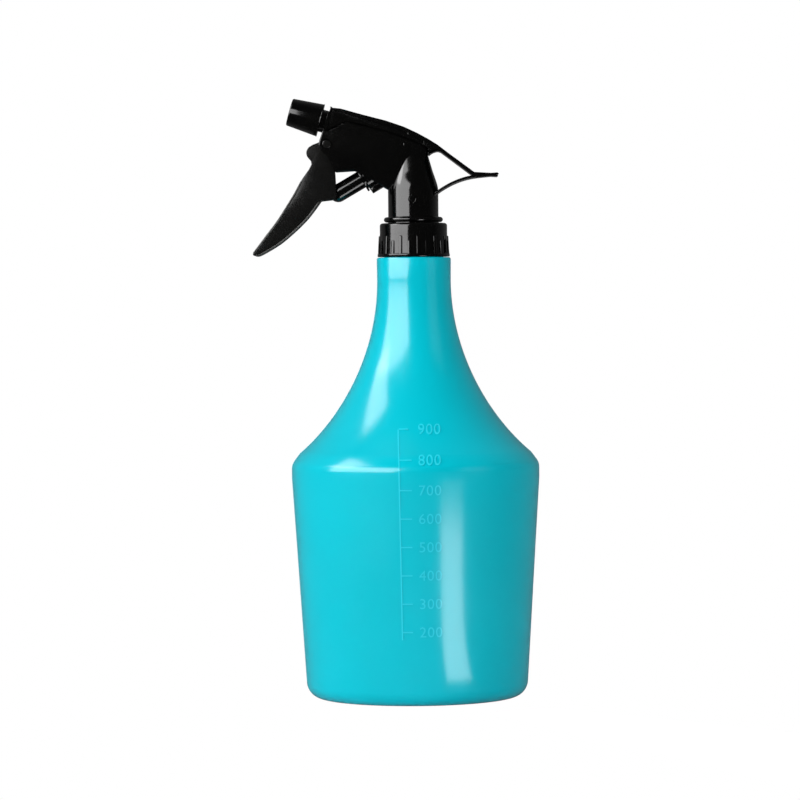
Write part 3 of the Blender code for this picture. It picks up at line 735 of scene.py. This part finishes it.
def make_body():
    bead = arc((BEAD_RADIUS - 1.15, BEAD_Z), 1.15, -80, 80, 12)
    neck = [(SHANK_CAVITY, FLANGE_Z[0]), (FLANGE_RADIUS, FLANGE_Z[0], 0.2), (FLANGE_RADIUS, FLANGE_Z[1], 0.2),
            (COLLAR_LIP - FIT, FLANGE_Z[1]), (COLLAR_LIP - FIT, 211.7)]
    neck += bead + [(SHANK_RADIUS, BEAD_Z + 1.2, 0.25)]
    neck += bezier((SHANK_RADIUS, SHANK_TOP), (SHANK_RADIUS - 0.2, 228.6), (9.7, 231.6), CONE_FOOT, 8)
    neck += [(CONE_TOP[0], CONE_TOP[1], 0.8), (0, CONE_TOP[1]), (0, CAVITY_TOP),
             (SHANK_CAVITY, CAVITY_TOP, 0.5)]
    body = lathe("body_neck", UPRIGHT, neck, 128)
    bore = bar("pump_bore", PUMP, CYLINDER_BORE, 5.0, BORE_END)
    body = cut(body, bore)
    cylinder = [(CYLINDER_BORE, MOUTH_AT, 0.3), (CYLINDER_RADIUS, MOUTH_AT, 0.4),
                (CYLINDER_RADIUS, CYLINDER_END), (0, CYLINDER_END), (0, BORE_END), (CYLINDER_BORE, BORE_END)]
    parts = [body, lathe("pump_cylinder", PUMP, cylinder, 80)]
    for side in (-1, 1):
        near, far = sorted((side * CHEEK_INNER, side * CHEEK_OUTER))
        cheek = plate("cheek_near" if side < 0 else "cheek_far", CHEEK_OUTLINE, near, far, 0.4, 3)
        parts.append(cut(cheek, bar("seat", across(PIVOT_SPOT), TRUNNION_RADIUS + 0.3, -9.0, 9.0, 32)))
        mark = lathe("gate_mark", Spindle(spot(GATE_MARK[0], side * CHEEK_OUTER, GATE_MARK[1]), (0, 0, 1)),
                     [(0, -0.75), (0.35, -0.6, 0.2), (0.35, 0.6, 0.2), (0, 0.75)], 24)
        parts.append(mark)
    ring_axis = across(spot(GATE_RING[0], -SHANK_RADIUS, GATE_RING[1]))
    parts.append(lathe("neck_gate_ring", ring_axis, arc((GATE_RING_RADIUS, 0), 0.17, 0, 324, 9), 40))
    parts.append(plate("bulkhead", [(-34.0, 244.0), (-32.4, 244.0), (-32.4, 252.0), (-34.0, 252.0)],
                       -5.9, 5.9, 0.2))
    gusset = [(-18.6, 229.5), (-19.0, 226.6, 0.3), (-17.8, 224.7, 0.3), (-12.5, 227.8), (-12.5, 231.0)]
    parts.append(plate("mouth_gusset", gusset, -2.5, 2.5, 0.3))
    socket = [(2.9, -37.6), (3.7, -37.6), (3.7, -29.5, 0.3), (2.9, -29.5, 0.2)]
    parts.append(lathe("tube_socket", NOZZLE, socket, 48))
    spine = [(-6.5, 243.0), (-2.0, 241.0), (5.6, 241.0), (7.6, 243.6), (6.6, 245.6), (3.0, 248.3),
             (-5.5, 251.0), (-8.0, 250.0)]
    parts.append(plate("socket_rib", spine, -1.2, 1.2, 0.2))
    inner, outer = INNER_RIB_HALF
    parts.append(plate("inner_rib_near", INNER_RIB, -outer, -inner, 0.15))
    parts.append(plate("inner_rib_far", INNER_RIB, inner, outer, 0.15))
    return gather("sprayer_body", parts)


# ---------------------------------------------------------------- cover

TOP_LINE = [
    (-36.9, 263.6, 0.5), (-31.9, 262.3), (-22.1, 259.5), (-11.9, 256.8), (-3.9, 254.0), (1.9, 251.25),
    (6.8, 248.55), (11.0, 245.9), (16.1, 241.95), (27.2, 233.65, 1.5)]
TONGUE = [(34.7, 233.2, 0.8), (37.5, 233.4, 0.7), (38.5, 232.5, 0.4), (37.5, 231.6, 0.7),
          (34.7, 231.8, 0.8)]
STRAP_UNDERSIDE = [
    (28.3, 231.2, 2.0), (25.2, 233.0, 0.8), (16.0, 240.0), (9.9, 244.6), (5.8, 247.1), (1.0, 249.6),
    (-4.7, 252.3), (-12.5, 255.0), (-22.6, 257.9), (-32.3, 260.8), (-35.9, 261.8)]
SKIRT_OUTLINE = [
    (-39.5, 253.1), (-37.3, 253.1, 0.3), (-30.5, 256.4, 0.8), (-29.1, 256.6), (-20.7, 254.7),
    (-11.8, 252.2), (-5.1, 249.9), (0.3, 247.8), (3.9, 246.0), (5.6, 244.8), (5.4, 248.4), (1.4, 250.6),
    (-3.9, 253.2), (-11.9, 256.0), (-22.1, 258.8), (-31.9, 261.6), (-36.4, 262.6), (-37.9, 258.6)]
TAIL_WALL = [
    (6.9, 241.1, 0.3), (9.0, 242.5), (11.0, 243.1), (12.5, 242.7), (14.2, 241.3, 0.3), (14.2, 242.6),
    (8.6, 246.7), (4.6, 248.8), (4.6, 246.0, 0.3), (6.9, 244.2, 0.3)]


def make_cover():
    parts = [plate("cover_top", TOP_LINE + TONGUE + STRAP_UNDERSIDE, -COVER_HALF, COVER_HALF, 0.45, 3)]
    front = [(-37.2, 263.4, 0.6), (-38.2, 258.6), (-39.6, 252.9, 0.4), (-38.1, 252.9), (-36.6, 258.6),
             (-35.6, 263.0)]
    rim = plate("cover_front", front, -COVER_HALF, COVER_HALF, 0.3, 3)
    rim = cut(rim, bar("nozzle_opening", NOZZLE, THROAT_RADIUS + FIT, -8.0, 3.0))
    parts.append(rim)
    brow = [(-39.2, 254.3), (-41.0, 249.2, 0.3), (-39.5, 249.2, 0.3), (-37.7, 254.3)]
    parts.append(plate("front_foot", brow, 0.3 - CHEEK_INNER, CHEEK_INNER - 0.3, 0.25))
    for side in (-1, 1):
        near, far = sorted((side * SKIRT_HALF[0], side * SKIRT_HALF[1]))
        parts.append(plate("skirt_near" if side < 0 else "skirt_far", SKIRT_OUTLINE, near, far, 0.2))
        near, far = sorted((side * SKIRT_HALF[0], side * TAIL_HALF))
        parts.append(plate("tail_wall_near" if side < 0 else "tail_wall_far", TAIL_WALL, near, far, 0.25))
        lug = lathe("snap_lug", Spindle(spot(SNAP_LUG[0], side * SKIRT_HALF[1], SNAP_LUG[1]), (0, 0, 1)),
                    arc((0, 0), SNAP_LUG_RADIUS, -90, 90, 8), 24)
        parts.append(lug)
    clear = [(0, 214.0), (SHANK_RADIUS + FIT, 214.0), (SHANK_RADIUS + FIT, SHANK_TOP + 0.1),
             (CONE_FOOT[0] + FIT, CONE_FOOT[1]), (CONE_TOP[0] + FIT, CONE_TOP[1] + FIT),
             (0, CONE_TOP[1] + FIT)]
    web = bezier((13.6, 241.9), (12.0, 243.6), (9.6, 243.3), (7.2, 241.2), 10)
    strut = bezier((28.8, 231.2), (21.75, 230.45), (15.5, 227.8), (8.4, 222.2), 20)
    for name, line, depth in (("tail_web", web, -1.3), ("tail_strut", strut, -1.4)):
        arm = plate(name, line + inset(line, depth)[::-1], -TAIL_HALF, TAIL_HALF, 0.4, 3)
        parts.append(cut(arm, lathe("neck_clearance", UPRIGHT, clear, 96)))
    return gather("top_shroud", parts)


# ---------------------------------------------------------------- trigger

TRIGGER_FRONT = [
    (-46.3, 245.3), (-47.3, 243.5), (-47.0, 241.3), (-45.1, 237.7), (-50.0, 230.2), (-53.2, 224.4),
    (-56.8, 218.6), (-60.9, 212.4), (-65.0, 207.1), (-69.0, 201.8), (-71.2, 199.0)]
TRIGGER_REAR = [
    (-70.2, 197.1), (-68.2, 197.3), (-63.2, 200.0), (-58.8, 202.8), (-55.2, 205.7), (-50.7, 209.7),
    (-46.6, 213.9), (-43.0, 218.5), (-40.9, 221.4)]
TRIGGER_BACK = [(-35.4, 222.0, 0.6), (-34.1, 222.9, 0.6), (-34.6, 233.6), (-35.2, 237.5), (-36.4, 241.5)]
TRIGGER_POCKET = [
    (-43.4, 239.2), (-48.3, 230.2), (-51.5, 224.4), (-55.1, 218.6), (-59.2, 212.5), (-63.3, 207.1),
    (-66.3, 203.2), (-62.0, 198.5), (-55.0, 199.0), (-45.0, 207.0), (-30.0, 216.0), (-30.0, 238.0),
    (-36.0, 240.6), (-40.6, 241.6)]


def half_width(height):
    """Half the trigger's width: narrow between the cheeks, wide at the grip."""
    high, low = FLARE_Z
    part = min(max((high - height) / (high - low), 0.0), 1.0)
    return TRIGGER_TOP_HALF + part * (TRIGGER_GRIP_HALF - TRIGGER_TOP_HALF)


def flare(piece, thinner):
    """Widen a plate of unit half thickness, height by height, to the trigger's width."""
    activate(piece)
    bpy.ops.object.mode_set(mode="EDIT")
    for height in FLARE_Z:
        bpy.ops.mesh.select_all(action="SELECT")
        bpy.ops.mesh.bisect(plane_co=(0, 0, height * MM), plane_no=(0, 0, 1))
    bpy.ops.mesh.select_mode(type="VERT")
    mesh = bmesh.from_edit_mesh(piece.data)
    levels = sorted({round(vert.co.z / MM, 3) for vert in mesh.verts})
    for level in levels:
        bpy.ops.mesh.select_all(action="DESELECT")
        mesh = bmesh.from_edit_mesh(piece.data)
        for vert in mesh.verts:
            vert.select_set(round(vert.co.z / MM, 3) == level)
        bmesh.update_edit_mesh(piece.data)
        width = half_width(level) - thinner
        bpy.ops.transform.resize(value=(1, width, 1), center_override=(AXIS_X, 0, level * MM))
    bpy.ops.object.mode_set(mode="OBJECT")
    return piece


def soften_rims(piece, edge):
    activate(piece)
    bpy.ops.object.mode_set(mode="EDIT")
    pick_edges(piece, is_rim)
    bpy.ops.mesh.bevel(offset=edge * MM, segments=3, affect="EDGES", clamp_overlap=True)
    close_up()
    return piece


def make_trigger():
    boss = arc(PIVOT, TRUNNION_RADIUS + 0.6, -20, 150, 14)
    front, rear = flow(TRIGGER_FRONT, 3), flow(TRIGGER_REAR, 3)
    outline = front + [(-71.5, 197.6, 0.5)] + rear + TRIGGER_BACK + boss + [(-44.5, 246.4, 0.8)]
    lever = flare(plate("trigger_lever", outline, -1.0, 1.0, 0), 0.0)
    lever = cut(lever, flare(plate("trigger_pocket", TRIGGER_POCKET, -1.0, 1.0, 0), TRIGGER_WALL))
    lever = soften_rims(lever, 0.3)
    push_wall = [(-39.4, 222.4), (-37.9, 222.4), (-37.9, 232.0), (-39.4, 232.0)]
    wall = flare(plate("push_wall", push_wall, -1.0, 1.0, 0), TRIGGER_WALL - 0.3)
    stiffener = [(-51.6, 226.2), (-38.7, 226.2), (-38.7, 227.7), (-50.8, 227.7)]
    parts = [lever, wall, plate("stiffener", stiffener, -0.75, 0.75, 0.2),
             bar("trunnions", across(PIVOT_SPOT), TRUNNION_RADIUS, -TRUNNION_HALF, TRUNNION_HALF, 40, 0.4)]
    return gather("trigger_body", parts)


def make_trigger_rims():
    """The beads along the trigger's edges, in a lighter black that is a painted highlight for the thin light lines
    along their rims.
    """
    front = flow(TRIGGER_FRONT, 3)[12:]
    rear = flow(TRIGGER_REAR, 3)[:-1]
    rims = []
    for name, line, width in (("front_bead", front, FRONT_BEAD), ("rear_bead", rear, REAR_BEAD)):
        for side in (-1, 1):
            rims.append(edge_bead(f"{name}_{'near' if side < 0 else 'far'}", line, width, side))
    return gather("trigger_rims", rims)


def edge_bead(name, line, width, side):
    """A raised bead along one edge of the trigger's side wall."""
    outline = inset(line, 0.1) + inset(line, width)[::-1]
    strip = plate(name, outline, -1.0, 1.0, 0)
    activate(strip)
    bpy.ops.object.mode_set(mode="EDIT")
    bpy.ops.mesh.select_all(action="SELECT")
    bpy.ops.transform.resize(value=(1, BEAD_HALF, 1), center_override=(AXIS_X, 0, 0))
    bpy.ops.mesh.select_mode(type="VERT")
    mesh = bmesh.from_edit_mesh(strip.data)
    levels = sorted({round(vert.co.z / MM, 3) for vert in mesh.verts})
    for level in levels:
        bpy.ops.mesh.select_all(action="DESELECT")
        mesh = bmesh.from_edit_mesh(strip.data)
        for vert in mesh.verts:
            vert.select_set(round(vert.co.z / MM, 3) == level)
        bmesh.update_edit_mesh(strip.data)
        bpy.ops.transform.translate(value=(0, side * half_width(level) * MM, 0))
    bpy.ops.mesh.select_all(action="SELECT")
    bpy.ops.mesh.normals_make_consistent(inside=False)
    bpy.ops.object.mode_set(mode="OBJECT")
    return soften_rims(strip, 0.2)


# ---------------------------------------------------------------- pump

def make_piston():
    nose = arc((0, NOSE_AT), ROD_RADIUS, -90, 0, 14)
    outline = nose + [(ROD_RADIUS, HEAD_AT), (HEAD_RADIUS, HEAD_AT, 0.2), (HEAD_RADIUS, HEAD_AT + 1.0, 0.2),
                      (3.9, HEAD_AT + 1.0), (3.9, HEAD_END - 1.0), (HEAD_RADIUS, HEAD_END - 1.0, 0.2),
                      (HEAD_RADIUS, HEAD_END, 0.2), (3.1, HEAD_END), (3.1, 8.0), (0, 8.0)]
    return lathe("piston_rod", PUMP, outline, 80)


def make_guide():
    outline = [(4.3, 12.2, 0.2), (6.1, 12.2, 0.3), (6.1, 13.1, 0.2), (4.85, 13.1), (4.85, 16.6, 0.2),
               (4.3, 16.6, 0.2)]
    return lathe("cylinder_bush", PUMP, outline, 80)


def coil(name, spindle, radius, wire, start, end, coils):
    """A compression spring wound from one round section."""
    deselect()
    bpy.ops.mesh.primitive_circle_add(vertices=12, radius=wire / 2 * MM, fill_type="NGON",
                                      location=(radius * MM, 0, (start + wire / 2) * MM),
                                      rotation=(math.pi / 2, 0, 0))
    spring = bpy.context.object
    spring.name = name
    bpy.ops.object.transform_apply(location=True, rotation=True, scale=True)
    steps = coils * 36
    apply_modifier(spring, "SCREW", angle=math.tau * coils, screw_offset=(end - start - wire) * MM,
                   steps=steps, render_steps=steps, iterations=1, use_merge_vertices=False)
    bpy.ops.object.mode_set(mode="EDIT")
    close_up()
    lean = math.atan2(spindle.along.x, spindle.along.z)
    return settle(spring, spindle.origin, (0, lean, 0))


# ---------------------------------------------------------------- nozzle

def make_cap():
    front, back = CAP_LENGTH, CAP_BACK_RADIUS
    outline = [(5.4, 0.0, 0.2), (back, 0.0, 0.35), (CAP_FRONT_RADIUS, front, 0.7), (2.4, front, 0.2),
               (2.4, front - 0.9), (0.6, front - 0.9), (0.6, 10.9), (3.4, 10.9), (3.4, 7.6), (4.85, 7.6),
               (4.85, 5.8), (5.1, 5.8), (5.1, 1.0), (5.4, 1.0)]
    cap = lathe("nozzle_cap_shell", NOZZLE, outline, 96)
    for i in range(CAP_FLUTES):
        turn = math.tau * (i + 0.5) / CAP_FLUTES
        root = NOZZLE.at(FLUTE_ROOT, -1.0, turn)
        flute = begin(f"flute_{i + 1}", root)
        away = NOZZLE.at(FLUTE_RIM, -1.0, turn)
        sideways = (NOZZLE.at(1.0, 0.0, turn + math.pi / 2) - NOZZLE.origin) * FLUTE_HALF
        trace([root, away + sideways, away - sideways])
        bpy.ops.mesh.select_all(action="SELECT")
        bpy.ops.mesh.edge_face_add()
        bpy.ops.mesh.extrude_region_move(
            TRANSFORM_OT_translate={"value": NOZZLE.at(*FLUTE_TIP, turn) - root})
        bpy.ops.mesh.merge(type="CENTER")
        close_up()
        cap = cut(cap, flute)
    apply_modifier(cap, "BEVEL", width=0.12 * MM, segments=2, limit_method="ANGLE",
                   angle_limit=math.radians(28), use_clamp_overlap=True)
    return cap


def make_throat():
    outline = [(1.3, -37.2), (2.5, -37.2), (2.5, -6.2), (4.4, -6.2), (4.4, -3.2), (THROAT_RADIUS, -3.0, 0.2),
               (THROAT_RADIUS, 0.6, 0.3), (4.0, 0.6), (4.0, 4.8), (3.0, 4.8), (3.0, 9.6, 0.2), (2.6, 9.6),
               (2.6, -3.6), (1.3, -4.9)]
    return lathe("nozzle_barrel", NOZZLE, outline, 72)


# ---------------------------------------------------------------- assembly

def assemble():
    bottle = finish(make_bottle(), TURQUOISE, "bottle", "bottle")
    # The scale gets the lighter turquoise, a painted highlight on its raised strokes.
    finish(make_scale(bottle), SCALE_PAINTED_HIGHLIGHT_TURQUOISE, "bottle")
    finish(make_collar(), BLACK, "collar", "closure_collar")
    finish(make_body(), BLACK, "head", "pump_body")
    finish(make_cover(), BLACK, "head", "top_cover")
    finish(make_trigger(), SATIN_BLACK, "trigger", "trigger")
    # The edge beads get the lighter black, a painted highlight along the trigger's rims.
    finish(make_trigger_rims(), RIM_PAINTED_HIGHLIGHT_BLACK, "trigger")
    finish(make_piston(), BLACK, "piston", "piston")
    finish(make_guide(), BLACK, "head", "cylinder_guide")
    finish(make_throat(), BLACK, "head", "discharge_tube")
    finish(make_cap(), BLACK, "nozzle_cap", "nozzle_cap")

    spring = coil("piston_spring", PUMP, SPRING_RADIUS, SPRING_WIRE, SPRING_FROM, SPRING_TO, SPRING_COILS)
    finish(spring, STEEL, "head", "return_spring")
    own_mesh(spring)
    valve_spring = coil("valve_spring", NOZZLE, VALVE_SPRING_RADIUS, VALVE_SPRING_WIRE,
                        VALVE_SPRING_FROM, VALVE_SPRING_TO, VALVE_SPRING_COILS)
    finish(valve_spring, STEEL, "head", "outlet_spring")
    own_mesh(valve_spring)

    coats = {"natural_moulding": NATURAL, "seal_rubber": RUBBER, "spring_steel": STEEL,
             "black_moulding": BLACK, "turquoise_bottle": TURQUOISE}
    for part in frame["record"]["subparts"]:
        node = frame["nodes"][part["node"]]
        for slot in node.material_slots:
            slot.material = coats[part["material_slot"]]


# ---------------------------------------------------------------- studio

def seen_as_white(tree, lit, output):
    """Leave a surface pure white to the eye, whatever lights the bottle."""
    path = tree.nodes.new("ShaderNodeLightPath")
    white = tree.nodes.new("ShaderNodeEmission" if output.node.type == "OUTPUT_MATERIAL"
                           else "ShaderNodeBackground")
    white.inputs["Color"].default_value = (1.0, 1.0, 1.0, 1.0)
    mix = tree.nodes.new("ShaderNodeMixShader")
    tree.links.new(path.outputs["Is Camera Ray"], mix.inputs["Fac"])
    tree.links.new(lit, mix.inputs[1])
    tree.links.new(white.outputs[0], mix.inputs[2])
    tree.links.new(mix.outputs["Shader"], output)


def make_floor():
    deselect()
    bpy.ops.mesh.primitive_circle_add(vertices=96, radius=1.1, fill_type="NGON", location=(AXIS_X, 0, 0))
    floor = bpy.context.object
    floor.name = "pale_floor"
    paper = bpy.data.materials.new("white_paper")
    paper.use_nodes = True
    tree = paper.node_tree
    shader = tree.nodes["Principled BSDF"]
    shader.inputs["Base Color"].default_value = (*[FLOOR_TONE] * 3, 1.0)
    shader.inputs["Roughness"].default_value = 0.9
    seen_as_white(tree, shader.outputs["BSDF"], tree.nodes["Material Output"].inputs["Surface"])
    floor.data.materials.append(paper)
    floor.visible_glossy = False


def make_reflector():
    """A lit strip lying on the floor at the front right, which the wall mirrors as a soft line."""
    start, end = REFLECTOR_REACH
    left, right = (math.radians(turn) for turn in REFLECTOR_TURNS)
    deselect()
    bpy.ops.mesh.primitive_plane_add(size=1.0, location=(0, 0, 0))
    strip = bpy.context.object
    strip.name = "floor_reflector"
    corners = [(start, left), (start, right), (end, left), (end, right)]
    for vert, (reach, turn) in zip(strip.data.vertices, corners):
        vert.co = (AXIS_X + reach * math.sin(turn), -reach * math.cos(turn), 0.0006)
    glow = bpy.data.materials.new("reflector_glow")
    glow.use_nodes = True
    shader = glow.node_tree.nodes["Principled BSDF"]
    shader.inputs["Emission Color"].default_value = (1.0, 1.0, 1.0, 1.0)
    shader.inputs["Emission Strength"].default_value = REFLECTOR_GLOW
    strip.data.materials.append(glow)
    strip.visible_diffuse = False


def make_world():
    """White to the eye, with a bright wall behind the bottle and a dim room in front of it."""
    world = bpy.data.worlds.new("studio_world")
    bpy.context.scene.world = world
    world.use_nodes = True
    tree = world.node_tree
    room = tree.nodes["Background"]
    room.inputs["Color"].default_value = (1.0, 1.0, 1.0, 1.0)
    coords = tree.nodes.new("ShaderNodeTexCoord")
    split = tree.nodes.new("ShaderNodeSeparateXYZ")
    remap = tree.nodes.new("ShaderNodeMapRange")
    remap.inputs["From Min"].default_value = -0.25
    remap.inputs["From Max"].default_value = 0.6
    remap.inputs["To Min"].default_value = ROOM_FRONT
    remap.inputs["To Max"].default_value = ROOM_BACK
    tree.links.new(coords.outputs["Generated"], split.inputs["Vector"])
    tree.links.new(split.outputs["Y"], remap.inputs["Value"])
    tree.links.new(remap.outputs["Result"], room.inputs["Strength"])
    seen_as_white(tree, room.outputs["Background"], tree.nodes["World Output"].inputs["Surface"])


def soft_light(name, place, size, glow, mirrored=True, lights=True):
    """A rectangular softbox that faces the bottle.

    A gloss shows only a mirrored one, and the colours are lit only by one that lights.
    """
    lamp = bpy.data.lights.new(name, "AREA")
    lamp.shape = "RECTANGLE"
    lamp.size, lamp.size_y = size
    lamp.energy = glow * math.pi * size[0] * size[1]
    holder = bpy.data.objects.new(name, lamp)
    bpy.context.scene.collection.objects.link(holder)
    holder.location = place
    holder.visible_glossy = mirrored
    holder.visible_diffuse = lights
    aim = Vector((AXIS_X, 0.0, AIM_HEIGHT))
    holder.rotation_euler = (Vector(place) - aim).to_track_quat("Z", "Y").to_euler()
    return holder


def make_lights():
    soft_light("left_softbox", (-1.24, -0.95, 0.75), (2.2, 1.1), 6.2, lights=False)
    soft_light("upper_left_softbox", (-1.15, -0.14, 1.2), (0.7, 0.8), 6.0)
    soft_light("left_fill", (-0.96, -1.23, 0.9), (1.3, 1.0), 5.5, mirrored=False)
    soft_light("overhead_fill", (-0.3, 0.15, 1.7), (0.8, 0.6), 2.4, mirrored=False)
    soft_light("right_fill", (1.3, -0.8, 0.6), (0.8, 1.0), 3.4, mirrored=False)


def make_camera():
    view = bpy.data.cameras.new("camera")
    view.lens = CAMERA_LENS
    view.sensor_width = 36.0
    view.clip_end = 20.0
    camera = bpy.data.objects.new("camera", view)
    bpy.context.scene.collection.objects.link(camera)
    camera.location = (AXIS_X - CAMERA_LEFT * MM, -CAMERA_AWAY, CAMERA_HEIGHT)
    camera.rotation_mode = "XYZ"
    pitch = math.radians(90.0 - CAMERA_DIP)
    roll = math.radians(CAMERA_ROLL)
    camera.rotation_euler = (pitch, roll, 0.0)
    bpy.context.scene.camera = camera


assemble()
make_floor()
make_reflector()
make_world()
make_lights()
make_camera()
bpy.context.scene.view_settings.view_transform = "Standard"
